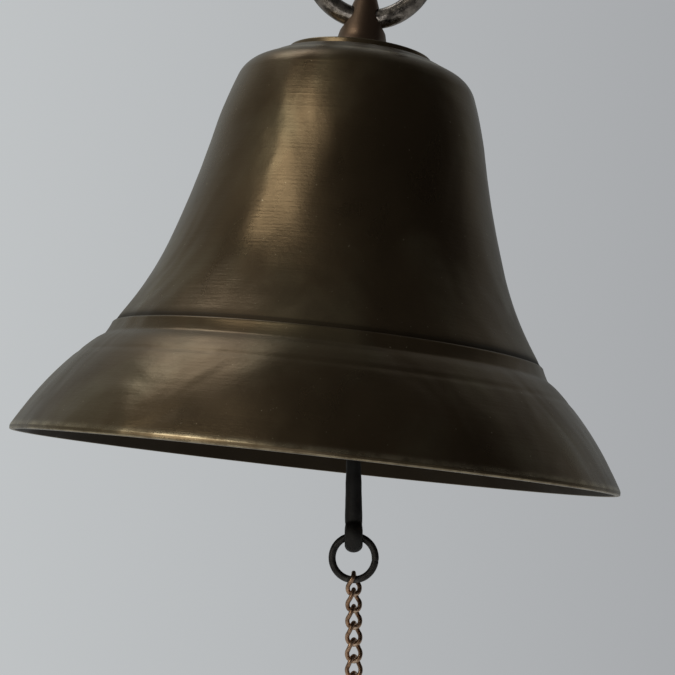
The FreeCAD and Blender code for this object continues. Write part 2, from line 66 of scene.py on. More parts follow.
BOLT_HOLE_RADIUS = 4.25

# lug, fibre washer and hanging ring
LUG_BASE_RADIUS, LUG_TOP_RADIUS = 10.0, 3.4
LUG_FOOT_HEIGHT, LUG_HEIGHT, LUG_DOME_HEIGHT = 0.8, 22.0, 2.4
LUG_HOLE_RADIUS, LUG_HOLE_HEIGHT = 4.62, 11.6
LUG_THREAD_RADIUS, LUG_THREAD_DEPTH = 4.08, 5.6
FIBRE_RADIUS, FIBRE_THICKNESS = 10.5, 0.8
RING_RADIUS, RING_WIRE = 19.5, 3.42

# clapper rod
ROD_RADIUS, ROD_EYE_RADIUS, ROD_EYE_WIRE = 2.38, 4.3, 1.9
TAIL_LENGTH, TAIL_EYE_RADIUS, TAIL_HOLE_RADIUS = 40, 5.6, 2.45

# small rings and chain
SMALL_RING_RADIUS, SMALL_RING_WIRE = 7.1, 1.18
LINK_HALF_WIDTH, LINK_PITCH, LINK_WIRE, LINK_GAP = 2.25, 5.4, 0.75, 0.15
LINK_SLOPE = 46

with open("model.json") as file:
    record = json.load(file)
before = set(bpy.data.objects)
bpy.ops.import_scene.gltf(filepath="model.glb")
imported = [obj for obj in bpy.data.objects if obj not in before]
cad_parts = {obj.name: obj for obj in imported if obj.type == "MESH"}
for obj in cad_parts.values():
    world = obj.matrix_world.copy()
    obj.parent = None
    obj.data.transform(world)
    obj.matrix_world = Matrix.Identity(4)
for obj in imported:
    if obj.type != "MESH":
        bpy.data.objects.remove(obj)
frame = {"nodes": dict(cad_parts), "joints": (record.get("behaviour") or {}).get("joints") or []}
cad_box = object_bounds()
joints = {j["name"]: j for j in frame["joints"]}


# --- frames of the bell and of the hanging pieces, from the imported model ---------

def joint_point(name):
    return Vector(joints[name]["pos_m"])


def node_vertices(node):
    mesh = frame["nodes"][node].data
    points = np.empty(len(mesh.vertices) * 3)
    mesh.vertices.foreach_get("co", points)
    return points.reshape(-1, 3)


swing_axis = Vector(joints["bell_swing"]["axis"])
lean = math.atan2(-swing_axis.z, swing_axis.x)
bell_axis = Vector((math.sin(lean), 0, math.cos(lean)))
heights = node_vertices("bell_shell") @ np.array(bell_axis)
hang_point = joint_point("bell_swing")
mouth_centre = hang_point + bell_axis * (heights.min() - hang_point.dot(bell_axis))
BELL = Matrix.Translation(mouth_centre) @ Matrix.Rotation(lean, 4, "Y")
BELL_HEIGHT = float(heights.max() - heights.min()) / MM
clapper_pivot = joint_point("clapper_swing")
CLAPPER = Matrix.Translation(clapper_pivot)


def box_centre(node):
    low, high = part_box(node)
    return (Vector(low) + Vector(high)) / 2


# --- mesh helpers: sizes in millimetres, meshes in metres ------------------------

def make_object(name, points, faces, place, wear=None, inner_and_painted_shade=None):
    mesh = bpy.data.meshes.new(name)
    mesh.from_pydata([tuple(p * MM for p in point) for point in points], [], faces)
    # point masks: rubbed wear, and the darker inner face together with painted shade in the bell's
    # groove
    for label, values in (("wear", wear), ("inner_and_painted_shade", inner_and_painted_shade)):
        layer = mesh.attributes.new(label, "FLOAT", "POINT")
        layer.data.foreach_set(
            "value", [0.0] * len(points) if values is None else list(values))
    mesh.transform(place)
    mesh.shade_smooth()
    piece = bpy.data.objects.new(name, mesh)
    bpy.context.scene.collection.objects.link(piece)
    return piece


def grid_faces(rows, columns, close_rows):
    """Quads of a grid whose columns close on themselves."""
    faces = []
    for i in range(rows if close_rows else rows - 1):
        below, above = i * columns, (i + 1) % rows * columns
        for j in range(columns):
            k = (j + 1) % columns
            faces.append((below + j, below + k, above + k, above + j))
    return faces


def lathe(name, profile, place, segments=192, wear=None, inner_and_painted_shade=None, wobble=None):
    """A closed profile of (radius, height) turned about the local Z axis."""
    points, worn, inner = [], [], []
    for index, (radius, height) in enumerate(profile):
        for j in range(segments):
            turn = 2 * math.pi * j / segments
            r = radius + (wobble(radius, height, turn) if wobble else 0)
            points.append((r * math.cos(turn), r * math.sin(turn), height))
        worn += [wear[index] if wear else 0.0] * segments
        inner += [inner_and_painted_shade[index] if inner_and_painted_shade else 0.0] * segments
    return make_object(name, points, grid_faces(len(profile), segments, True), place,
                       worn, inner)


def arc(start, end, radius, side, count):
    """Points of an arc after its start; side is +1 with its centre left of travel."""
    start, end = np.array(start, float), np.array(end, float)
    chord = end - start
    length = math.hypot(*chord)
    normal = np.array((-chord[1], chord[0])) / length * side
    centre = (start + end) / 2 + normal * math.sqrt(radius ** 2 - length ** 2 / 4)
    first = math.atan2(*(start - centre)[::-1])
    last = math.atan2(*(end - centre)[::-1])
    sweep = (last - first + math.pi) % (2 * math.pi) - math.pi
    angles = first + sweep * np.arange(1, count + 1) / count
    return [(centre[0] + radius * math.cos(a), centre[1] + radius * math.sin(a))
            for a in angles]


def line(start, end, count):
    """Points of a straight line after its start."""
    return [(start[0] + (end[0] - start[0]) * i / count,
             start[1] + (end[1] - start[1]) * i / count) for i in range(1, count + 1)]


def tube(name, path, radius, place, sides=20, wear=None):
    """A round wire along a closed path of points."""
    path = [Vector(p) for p in path]
    count = len(path)
    tangents = [(path[(i + 1) % count] - path[i - 1]).normalized() for i in range(count)]
    normal = tangents[0].orthogonal().normalized()
    frames = []
    for i in range(count + 1):
        tangent = tangents[i % count]
        normal = (normal - tangent * normal.dot(tangent)).normalized()
        frames.append(normal.copy())
    closing = frames[-1]
    twist = math.atan2(closing.cross(frames[0]).dot(tangents[0]), closing.dot(frames[0]))
    points = []
    for i in range(count):
        side = frames[i].copy()
        side.rotate(Matrix.Rotation(twist * i / count, 3, tangents[i]))
        other = tangents[i].cross(side)
        r = radius(i / count) if callable(radius) else radius
        for j in range(sides):
            turn = 2 * math.pi * j / sides
            points.append(path[i] + side * (r * math.cos(turn)) + other * (r * math.sin(turn)))
    worn = None
    if wear:
        worn = [wear(i / count) for i in range(count) for _ in range(sides)]
    return make_object(name, points, grid_faces(count, sides, True), place, worn)


def circle_path(radius, count, plane="XZ"):
    path = []
    for i in range(count):
        turn = 2 * math.pi * i / count
        a, b = radius * math.sin(turn), radius * math.cos(turn)
        path.append((a, 0, b) if plane == "XZ" else (0, a, b))
    return path


def solid_noise(point, scale, seed):
    return noise.noise(Vector(point) / scale + Vector((seed, seed * 1.7, -seed)))


def settle(piece):
    """Apply a piece's modifiers to its mesh."""
    graph = bpy.context.evaluated_depsgraph_get()
    mesh = bpy.data.meshes.new_from_object(piece.evaluated_get(graph))
    piece.modifiers.clear()
    piece.data = mesh
    return piece


def carve(piece, cutters):
    """Cut each cutter out of a piece."""
    for cutter in cutters:
        step = piece.modifiers.new("carve", "BOOLEAN")
        step.object, step.operation, step.solver = cutter, "DIFFERENCE", "EXACT"
        settle(piece)
        bpy.data.objects.remove(cutter)
    return piece


def bar(name, radius, start, end, place, sides=64):
    """A plain round bar between two points, for carving."""
    start, end = Vector(start), Vector(end)
    turn = Vector((0, 0, 1)).rotation_difference(end - start).to_matrix().to_4x4()
    local = Matrix.Translation(start) @ turn
    points, length = [], (end - start).length
    for height in (0, length):
        for j in range(sides):
            a = 2 * math.pi * j / sides
            points.append(local @ Vector((radius * math.cos(a), radius * math.sin(a), height)))
    faces = [tuple(range(sides))[::-1], tuple(range(sides, 2 * sides))]
    faces += [(j, (j + 1) % sides, sides + (j + 1) % sides, sides + j) for j in range(sides)]
    return make_object(name, points, faces, place)


# --- materials -------------------------------------------------------------------

class Shader:
    """Small helper for building a node material."""

    def __init__(self, name, metallic, base):
        self.material = bpy.data.materials.new(name)
        self.material.use_nodes = True
        self.material.diffuse_color = (*base, 1)
        self.tree = self.material.node_tree
        self.surface = self.tree.nodes["Principled BSDF"]
        self.surface.inputs["Metallic"].default_value = metallic
        self.coords = self.tree.nodes.new("ShaderNodeTexCoord").outputs["Object"]
        self.height = None

    def lean_coords(self, turn):
        """Turn the texture's axes to follow a leaning piece."""
        mapping = self.node("Mapping")
        mapping.inputs["Rotation"].default_value = (0, -turn, 0)
        self.link(self.coords, mapping.inputs["Vector"])
        self.coords = mapping.outputs["Vector"]

    def node(self, kind, **values):
        node = self.tree.nodes.new("ShaderNode" + kind)
        for key, value in values.items():
            setattr(node, key, value)
        return node

    def link(self, output, target):
        self.tree.links.new(output, target)

    def noise(self, scale, detail=3.0, rough=0.55, stretch=(1, 1, 1), warp=0.0):
        mapping = self.node("Mapping")
        mapping.inputs["Scale"].default_value = stretch
        self.link(self.coords, mapping.inputs["Vector"])
        texture = self.node("TexNoise")
        texture.inputs["Scale"].default_value = scale
        texture.inputs["Detail"].default_value = detail
        texture.inputs["Roughness"].default_value = rough
        texture.inputs["Distortion"].default_value = warp
        self.link(mapping.outputs["Vector"], texture.inputs["Vector"])
        return texture.outputs["Fac"]

    def range(self, value, low, high, start=0.0, end=1.0):
        node = self.node("MapRange")
        for key, number in zip(("From Min", "From Max", "To Min", "To Max"),
                               (low, high, start, end)):
            node.inputs[key].default_value = number
        self.link(value, node.inputs["Value"])
        return node.outputs["Result"]

    def math(self, kind, a, b):
        node = self.node("Math", operation=kind)
        for socket, value in zip(node.inputs, (a, b)):
            if isinstance(value, (int, float)):
                socket.default_value = value
            else:
                self.link(value, socket)
        return node.outputs[0]

    def mix(self, factor, a, b):
        node = self.node("Mix", data_type="RGBA")
        self.link(factor, node.inputs[0])
        for socket, value in ((node.inputs[6], a), (node.inputs[7], b)):
            if isinstance(value, tuple):
                socket.default_value = (*value, 1)
            else:
                self.link(value, socket)
        return node.outputs[2]

    def attribute(self, name):
        return self.node("Attribute", attribute_name=name).outputs["Fac"]

    def bump(self, height, strength, distance):
        node = self.node("Bump")
        node.inputs["Strength"].default_value = strength
        node.inputs["Distance"].default_value = distance
        self.link(height, node.inputs["Height"])
        if self.height:
            self.link(self.height, node.inputs["Normal"])
        self.height = node.outputs["Normal"]
        self.link(self.height, self.surface.inputs["Normal"])

    def colour(self, value):
        self.link(value, self.surface.inputs["Base Color"])

    def roughness(self, value):
        self.link(value, self.surface.inputs["Roughness"])


def bronze(name, dark, mid, olive, worn, rough):
    """Old cast bronze: brown patina, faint olive and grey areas, rubbed edges, a darker inner face, and
    painted shade in the groove above the ledge.
    """
    s = Shader(name, 0.9, mid)
    s.lean_coords(lean)
    clouds = s.range(s.noise(17, 3, 0.5, (1, 1, 0.6)), 0.3, 0.7)
    colour = s.mix(clouds, dark, mid)
    patches = s.range(s.noise(34, 4, 0.55, (1, 1, 0.7), 0.3), 0.48, 0.75, 0, 0.55)
    colour = s.mix(patches, colour, olive)
    streaks = s.range(s.noise(85, 3, 0.5, (1, 1, 0.16)), 0.5, 0.85, 0, 0.3)
    colour = s.mix(streaks, colour, dark)
    stains = s.range(s.noise(260, 5, 0.65), 0.6, 0.8, 0, 0.35)
    colour = s.mix(stains, colour, dark)
    specks = s.range(s.noise(1100, 1, 0.5), 0.775, 0.8, 0, 0.7)
    colour = s.mix(specks, colour, worn)
    edge = s.math("MULTIPLY", s.attribute("wear"), s.range(s.noise(170, 4, 0.7), 0.32, 0.6, 0.1, 0.85))
    colour = s.mix(edge, colour, worn)
    # the marked inner face is darkened, and the groove above the ledge is darkened as painted shade
    inner = s.attribute("inner_and_painted_shade")
    colour = s.mix(inner, colour, tuple(c * 0.25 for c in dark))
    s.colour(colour)
    gloss = s.range(s.noise(40, 4, 0.55, (1, 1, 0.6), 0.4), 0.3, 0.7, rough - 0.05, rough + 0.08)
    gloss = s.math("ADD", gloss, s.math("MULTIPLY", stains, 0.25))
    gloss = s.math("ADD", gloss, s.math("MULTIPLY", inner, 0.25))
    gloss = s.math("SUBTRACT", gloss, s.math("MULTIPLY", edge, 0.08))
    s.roughness(gloss)
    s.bump(s.noise(32, 2, 0.45, (1, 1, 0.7), 0.5), 0.36, 0.004)
    s.bump(s.noise(620, 4, 0.6, (1, 1, 2.0)), 0.08, 0.0005)
    s.bump(s.noise(16, 3, 0.6, (1, 1, 60)), 0.06, 0.0008)
    return s.material


def iron(name, base, grey, metallic, rough, grain):
    """Black forged iron or dark steel: scale, faint rust, rubbed spots."""
    s = Shader(name, metallic, base)
    colour = s.mix(s.range(s.noise(150, 4, 0.6), 0.4, 0.65), base, grey)
    rust = s.range(s.noise(330, 5, 0.7, warp=0.5), 0.6, 0.78, 0, 0.55)
    colour = s.mix(rust, colour, (0.075, 0.035, 0.018))
    rubbed = s.math("MULTIPLY", s.attribute("wear"), s.range(s.noise(420, 4, 0.6), 0.35, 0.6))
    colour = s.mix(rubbed, colour, tuple(min(1, c * 4 + 0.06) for c in grey))
    s.colour(colour)
    s.roughness(s.range(s.noise(260, 4, 0.6), 0.3, 0.7, rough - 0.1, rough + 0.12))
    s.bump(s.noise(grain, 4, 0.6), 0.35, 0.0005)
    s.bump(s.noise(90, 2, 0.5), 0.25, 0.0012)
    return s.material


def chain_metal(name):
    """Tarnished brass wire: brown in the hollows, bright where links rub."""
    s = Shader(name, 0.95, (0.32, 0.2, 0.12))
    colour = s.mix(s.range(s.noise(420, 4, 0.6), 0.36, 0.62), (0.2, 0.115, 0.07), (0.46, 0.3, 0.2))
    tarnish = s.range(s.noise(900, 4, 0.65), 0.55, 0.75, 0, 0.8)
    colour = s.mix(tarnish, colour, (0.07, 0.042, 0.026))
    rubbed = s.math("MULTIPLY", s.attribute("wear"), s.range(s.noise(700, 3, 0.6), 0.3, 0.6, 0.3, 1))
    colour = s.mix(rubbed, colour, (0.72, 0.56, 0.42))
    s.colour(colour)
    s.roughness(s.range(s.noise(800, 3, 0.6), 0.3, 0.7, 0.2, 0.42))
    s.bump(s.noise(1500, 3, 0.6), 0.2, 0.0002)
    return s.material


def fibre(name):
    """Pressed red fibre: matt, speckled, with darker oil stains."""
    s = Shader(name, 0.0, (0.3, 0.075, 0.035))
    colour = s.mix(s.range(s.noise(500, 4, 0.7), 0.4, 0.65), (0.17, 0.045, 0.025), (0.33, 0.1, 0.05))
    colour = s.mix(s.range(s.noise(110, 3, 0.6), 0.5, 0.7, 0, 0.8), colour, (0.05, 0.025, 0.018))
    s.colour(colour)
    s.roughness(s.range(s.noise(400, 3, 0.6), 0.3, 0.7, 0.62, 0.85))
    s.bump(s.noise(1800, 3, 0.7), 0.4, 0.0002)
    return s.material


BRONZE = bronze("bell_bronze", (0.086, 0.060, 0.034), (0.16, 0.115, 0.066),
                (0.19, 0.163, 0.10), (0.44, 0.37, 0.25), 0.30)
LUG = bronze("lug_bronze", (0.10, 0.066, 0.046), (0.19, 0.125, 0.085),
             (0.2, 0.15, 0.105), (0.38, 0.28, 0.19), 0.38)
RING_STEEL = iron("ring_steel", (0.09, 0.078, 0.068), (0.15, 0.132, 0.115), 0.95, 0.26, 350)
BLACK_IRON = iron("clapper_iron", (0.0075, 0.0068, 0.0062), (0.015, 0.0135, 0.012), 0.5, 0.58, 700)
WIRE_IRON = iron("small_ring_iron", (0.009, 0.008, 0.0072), (0.02, 0.018, 0.016), 0.6, 0.45, 900)
INNER_STEEL = iron("inner_steel", (0.09, 0.085, 0.08), (0.2, 0.19, 0.18), 0.95, 0.42, 800)
CHAIN = chain_metal("chain_brass")
FIBRE = fibre("red_fibre")


def dress(piece, material, body, slot, *nodes):
    """Give a piece its finish, its body and the CAD nodes that it stands for."""
    piece.data.materials.clear()
    piece.data.materials.append(material)
    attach(piece, body)
    if nodes:
        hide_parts(*nodes)
    return piece


# --- the bell --------------------------------------------------------------------

def bell_profile():
    """The casting's section, with the rubbed arrises and the inner face marked, and painted shade marked
    in the groove above the ledge.
    """
    H = BELL_HEIGHT
    points, wear, inner_and_painted_shade = [], [], []

    def add(new, worn=0.0, inner=0.0, fade=None):
        for index, point in enumerate(new):
            points.append(point)
            wear.append(fade[index] if fade else worn)
            inner_and_painted_shade.append(inner)

    rim, foot = (MOUTH_RADIUS, 0.45), (MOULDING_RADIUS, MOULDING_HEIGHT)
    add([(98.4, 0.0), (99.1, 0.0)], 0.5)
    add([(99.6, 0.05), (99.9, 0.2), rim], 0.8)
    add(line(rim, (MOUTH_RADIUS, RIM_HEIGHT - 0.3), 4), 0.12)
    add([(99.97, 1.45), (99.86, 1.75)], 0.8)
    flare = arc((99.86, 1.75), foot, FLARE_BULGE, 1, 64)
    fade = [max(0.0, 0.5 - 0.4 * i) for i in range(64)]
    grooved = []
    for r, z in flare:
        dip = 0.12 * math.exp(-((z - MOULDING_HEIGHT + 7) / 0.8) ** 2)
        dip += 0.32 * math.exp(-((z - MOULDING_HEIGHT) / 1.5) ** 2)
        grooved.append((r - dip, z - dip * 0.6))
    add(grooved, fade=fade)
    band, top = points[-1], (71.75, 38.1)
    for i in range(1, 9):
        t = i / 8
        add([(band[0] + (top[0] - band[0]) * t - 0.1 * math.sin(math.pi * t),
              band[1] + (top[1] - band[1]) * t)])
    add([(71.6, 38.5), (71.35, 38.75)], 0.06)
    # painted shade: the ledge's inner corner, where it meets the groove, is marked dark
    add([(71.1, 38.8), (70.86, 38.82), (70.7, 39.0), (70.65, 39.3)], 0.0, 0.85)
    low = arc((LEDGE_RADIUS, LEDGE_HEIGHT), WAIST_MID, WAIST_LOW_CURVE, -1, 48)
    # the waist's foot is cut in a little as a groove and darkened with painted shade, fading upwards
    for i, (r, z) in enumerate(low[1:]):
        add([(r - 0.3 * math.exp(-i / 2.0), z)], 0.0, 0.8 * math.exp(-i / 1.6))
    waist_top = (WAIST_TOP_RADIUS, H - WAIST_TOP_DROP)
    shoulder_foot = (SHOULDER_RADIUS, H - SHOULDER_DROP)
    bevel_foot = (BEVEL_FOOT_RADIUS, H - BEVEL_FOOT_DROP)
    bevel_start = (BEVEL_FOOT_RADIUS - 0.2, H - BEVEL_FOOT_DROP + 0.12)
    add(arc(low[-1], waist_top, WAIST_HIGH_CURVE, -1, 48))
    add(arc(waist_top, shoulder_foot, SHOULDER_LOW_CURVE, 1, 18))
    shoulder = arc(shoulder_foot, bevel_foot, SHOULDER_HIGH_CURVE, 1, 18)
    add(shoulder[:-1], fade=[0] * 12 + [0.1, 0.15, 0.25, 0.4, 0.7])
    add([(BEVEL_FOOT_RADIUS + 0.05, H - BEVEL_FOOT_DROP - 0.08), bevel_start], 1.0)
    add(line(bevel_start, (27.1, H - 2.42), 10), fade=[0.6, 0.3, 0.1] + [0.05] * 5 + [0.3, 0.5])
    add([(26.75, H - 2.31), (26.3, H - DISC_THICKNESS)], 0.4)
    add([(DISC_RADIUS + 0.3, H - DISC_THICKNESS), (DISC_RADIUS + 0.05, H - 2.2),
         (DISC_RADIUS, H - 2.0), (DISC_RADIUS, H - 0.4)], 0.1)
    disc_edge = (DISC_RADIUS - 0.9, H)
    add([(DISC_RADIUS - 0.1, H - 0.12), (DISC_RADIUS - 0.35, H - 0.01), disc_edge], 0.6)
    add(line(disc_edge, (BOLT_HOLE_RADIUS + 0.2, H), 10), 0.05)
    hole_foot = (BOLT_HOLE_RADIUS, H - CROWN_THICKNESS)
    crown_edge = (CROWN_INNER_RADIUS, H - CROWN_THICKNESS)
    add([(BOLT_HOLE_RADIUS, H - 0.2), (BOLT_HOLE_RADIUS, H - 1.2),
         (BOLT_HOLE_RADIUS, H - 3.4), hole_foot], 0, 1.0)
    add(line(hole_foot, crown_edge, 8), 0, 1.0)
    inner_top = (WAIST_TOP_RADIUS - WAIST_WALL, H - WAIST_TOP_DROP)
    inner_mid = (WAIST_MID[0] - WAIST_WALL, WAIST_MID[1])
    inner_bow = (MOULDING_RADIUS - BOW_WALL, MOULDING_HEIGHT)
    add(arc(crown_edge, inner_top, INNER_SHOULDER_CURVE, -1, 20), 0, 1.0)
    add(arc(inner_top, inner_mid, WAIST_HIGH_CURVE, 1, 36), 0, 1.0)
    add(arc(inner_mid, inner_bow, WAIST_LOW_CURVE, 1, 36), 0, 1.0)
    add(arc(inner_bow, (98.2, 0.25), INNER_FLARE_BULGE, -1, 40),
        fade=[0.0] * 37 + [0.1, 0.25, 0.5], inner=1.0)
    return points, wear, inner_and_painted_shade


def bell_wobble(radius, height, turn):
    """Unevenness of a sand casting that was turned and polished by hand."""
    if radius < 30:
        return 0.0
    point = (radius * math.cos(turn), radius * math.sin(turn), height)
    slow = solid_noise(point, 34, 3.0)
    ripple = solid_noise((point[0] * 0.6, point[1] * 0.6, height * 1.8), 9, 8.0)
    keep = min(1.0, max(0.0, (height - 2.2) / 6))
    return -(0.16 * (slow + 1) + 0.035 * (ripple + 1)) * keep


profile, wear, inner_and_painted_shade = bell_profile()
bell = lathe("bell_casting", profile, BELL, 320, wear, inner_and_painted_shade, bell_wobble)
dress(bell, BRONZE, "bell", "bell_bronze", "bell_shell")


# --- lug and red washer ----------------------------------------------------------

SEAT = BELL @ Matrix.Translation((0, 0, (BELL_HEIGHT + FIBRE_THICKNESS) * MM))


def make_lug():
    """Tapered post: slightly flared foot, domed tip, cross hole and tapped hole."""
    base, top, dome, height = LUG_BASE_RADIUS, LUG_TOP_RADIUS, LUG_DOME_HEIGHT, LUG_HEIGHT
    skin = [(base - 0.3, 0.0), (base, 0.25), (base, LUG_FOOT_HEIGHT)]
    side = line((base, LUG_FOOT_HEIGHT), (top, height - dome), 40)
    for r, z in side:
        waist = 0.35 * math.exp(-((z - 4.2) / 2.2) ** 2)
        skin.append((r - waist, z))
    cap = (top ** 2 + dome ** 2) / (2 * dome)
    first = math.acos(top / cap)
    for i in range(1, 15):
        a = first + (math.pi / 2 - first) * i / 15
        skin.append((cap * math.cos(a), height - cap + cap * math.sin(a)))
    skin.append((0.05, height))
    skin += [(0.05, LUG_THREAD_DEPTH), (LUG_THREAD_RADIUS, LUG_THREAD_DEPTH),
             (LUG_THREAD_RADIUS, 0.35), (4.45, 0.0)]
    wear = [0.5, 0.6, 0.3] + [0.05] * (len(skin) - 3)
    lug = lathe("lug_post", skin, SEAT, 96, wear)
    hole = bar("hole_cutter", LUG_HOLE_RADIUS, (-14, 0, LUG_HOLE_HEIGHT),
               (14, 0, LUG_HOLE_HEIGHT), SEAT, 96)
    carve(lug, [hole])
    soften = lug.modifiers.new("soften", "BEVEL")
    soften.width, soften.segments, soften.limit_method = 0.00035, 3, "ANGLE"
    soften.angle_limit = math.radians(38)
    settle(lug)
    lug.data.shade_smooth()
    return dress(lug, LUG, "bell", "lug_bronze", "crown_lug")


def make_red_washer():
    """Thin fibre washer with a slightly uneven edge."""
    inner, outer, top = 4.3, FIBRE_RADIUS, FIBRE_THICKNESS
    skin = [(inner, 0.0), (outer - 0.3, 0.0), (outer - 0.08, 0.12), (outer, 0.4),
            (outer - 0.08, top - 0.12), (outer - 0.3, top), (inner, top)]

    def frayed(r, z, a):
        if r <= 9:
            return 0.0
        return -0.12 * (1 + solid_noise((r * math.cos(a), r * math.sin(a), 0), 3, 5.0))

    washer = lathe("red_washer", skin, BELL @ Matrix.Translation((0, 0, BELL_HEIGHT * MM)),
                   96, None, None, frayed)
    return dress(washer, FIBRE, "bell", "red_fibre", "lug_washer")


make_lug()
make_red_washer()


# --- hanging ring ----------------------------------------------------------------

def make_hanging_ring():
    """Round steel bar bent to a ring; its weld stands at one side, above the bell."""
    def radius(t):
        bead = 0.22 * math.exp(-((t - 0.21) / 0.010) ** 2)
        flat = 0.10 * math.exp(-((t - 0.5) / 0.05) ** 2)
        return RING_WIRE + bead - flat + 0.03 * math.sin(2 * math.pi * (t * 9 + 0.2))

    def worn(t):
        return 0.25 + 0.75 * math.exp(-((t - 0.5) / 0.06) ** 2)

    ring = tube("ring_bar", circle_path(RING_RADIUS, 224), radius,
                Matrix.Translation(box_centre("hanging_ring")), 40, worn)
    return dress(ring, RING_STEEL, "hanging_ring", "ring_steel", "hanging_ring")


make_hanging_ring()


# --- clapper ---------------------------------------------------------------------

def make_clapper():
    """Forged rod: eye, shaft, swelling tail and a flattened eye, run into one mesh."""
    low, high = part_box("clapper_rod")
    tip = (clapper_pivot.z - low[2]) / MM
    rod_eye_top = (high[2] - clapper_pivot.z) / MM
    eye_drop = ROD_EYE_RADIUS + ROD_EYE_WIRE - rod_eye_top
    hole = tip - TAIL_EYE_RADIUS
    eye_path = [(0, y, z - eye_drop) for _, y, z in circle_path(ROD_EYE_RADIUS, 96, "YZ")]
    parts = [tube("rod_eye", eye_path, ROD_EYE_WIRE - 0.02, CLAPPER, 32)]
    shaft_top, tail_top = eye_drop + ROD_EYE_RADIUS, tip - TAIL_LENGTH
    skin = [(0.02, -shaft_top)]
    count = 90
    for i in range(count + 1):
        z = shaft_top + (hole - shaft_top) * i / count
        swell = min(1, max(0, (z - tail_top) / (hole - tail_top)))
        r = ROD_RADIUS + 0.6 * (swell * swell * (3 - 2 * swell))
        r -= 0.05 + 0.05 * math.sin(z * 0.9) * math.sin(z * 0.23)
        skin.append((r, -z))
    skin.append((0.02, -hole))
    parts.append(lathe("rod_shaft", skin[::-1], CLAPPER, 48))
    half = [(3.4, 2.98), (3.75, 2.9), (4.3, 2.62), (4.85, 2.1), (5.35, 1.2)]
    pad = [(r, -x) for r, x in half] + [(TAIL_EYE_RADIUS - 0.05, 0)] + half[::-1]
    across = Matrix.Translation((0, 0, -hole * MM)) @ Matrix.Rotation(math.pi / 2, 4, "Y")
    parts.append(lathe("rod_pad", [(0.02, -2.98)] + pad + [(0.02, 2.98)],
                       CLAPPER @ across, 96))
    points, faces = [], []
    for part in parts:
        shift = len(points)
        points += [v.co / MM for v in part.data.vertices]
        faces += [tuple(shift + i for i in f.vertices) for f in part.data.polygons]
        bpy.data.objects.remove(part)
    rod = make_object("clapper_bar", points, faces, Matrix.Identity(4))
    join = rod.modifiers.new("join", "REMESH")
    join.mode, join.voxel_size, join.use_smooth_shade = "VOXEL", 0.00034, True
    settle(rod)
    holes = [bar("slot_%d" % i, TAIL_HOLE_RADIUS, (-6, 0, -hole + dz), (6, 0, -hole + dz), CLAPPER, 64)
             for i, dz in enumerate((0.0, 0.75, 1.5))]
    carve(rod, holes)
    smooth = rod.modifiers.new("smooth", "SMOOTH")
    smooth.factor, smooth.iterations = 0.5, 4
    settle(rod)
    rod.data.shade_smooth()
    return dress(rod, BLACK_IRON, "clapper", "clapper_iron", "clapper_rod")


make_clapper()


# --- pull ring, end ring and chain -----------------------------------------------

def make_wire_ring(name, node, joint, turn, body):
    """A bent wire ring, its butt joint closed and filed at one side."""
    top = joint_point(joint)
    place = Matrix.Translation(top) @ Matrix.Rotation(math.radians(turn), 4, "Z")
    path = [(x, 0, z - SMALL_RING_RADIUS) for x, _, z in circle_path(SMALL_RING_RADIUS, 128)]

    def radius(t):
        return SMALL_RING_WIRE - 0.16 * math.exp(-((t - 0.27) / 0.0045) ** 2)

    ring = tube(name, path, radius, place, 28,
                lambda t: 0.8 * math.exp(-((t - 0.5) / 0.05) ** 2) + 0.15)
    return dress(ring, WIRE_IRON, body, "small_ring_iron", node)


PULL_RING_TURN, FIRST_LINK_TURN, LINK_TURN_STEP, LINK_TURN_STEPS = -5, 50, 5, 5
END_RING_TURN = 80
make_wire_ring("pull_ring_wire", "pull_ring", "pull_ring_swing", PULL_RING_TURN, "pull_ring")
make_wire_ring("end_ring_wire", "end_ring", "end_ring_swing", END_RING_TURN, "end_ring")


def link_quarter_points(count):
    """A quarter of a curb link's centre line: two arcs that meet in a tangent."""
    slope = math.radians(LINK_SLOPE)
    side = Vector((LINK_HALF_WIDTH, 0, 0))
    side_tangent = Vector((0, math.sin(slope), math.cos(slope)))
    end = Vector((0, 0, (LINK_PITCH + 2 * LINK_WIRE + LINK_GAP) / 2))
    end_tangent = Vector((-1, -1, 0)).normalized()
    gap, both = end - side, side_tangent + end_tangent
    square, inward = 4 - both.dot(both), gap.dot(both)
    handle = (-inward + math.sqrt(inward ** 2 + square * gap.dot(gap))) / square
    first, last = side + side_tangent * handle, end - end_tangent * handle
    meeting, middle = (first + last) / 2, (last - first).normalized()
    points = []
    for start, tangent, stop in ((side, side_tangent, meeting), (meeting, middle, end)):
        chord = stop - start
        along = chord.normalized()
        half = tangent.angle(along)
        across = (tangent - along * tangent.dot(along)).normalized()
        radius = chord.length / (2 * math.sin(half))
        centre = start + chord / 2 - across * (radius * math.cos(half))
        for i in range(count):
            a = -half + 2 * half * i / count
            points.append(centre + across * (radius * math.cos(a)) + along * (radius * math.sin(a)))
    return points + [end]


def link_path():
    """The whole centre line: a quarter turned about the link's axes."""
    quarter = link_quarter_points(9)
    upper = quarter + [Vector((-p.x, -p.y, p.z)) for p in quarter[-2:0:-1]]
    lower = [Vector((p.x, -p.y, -p.z)) for p in upper]
    return upper + [Vector((-LINK_HALF_WIDTH, 0, 0))] + lower[:0:-1]


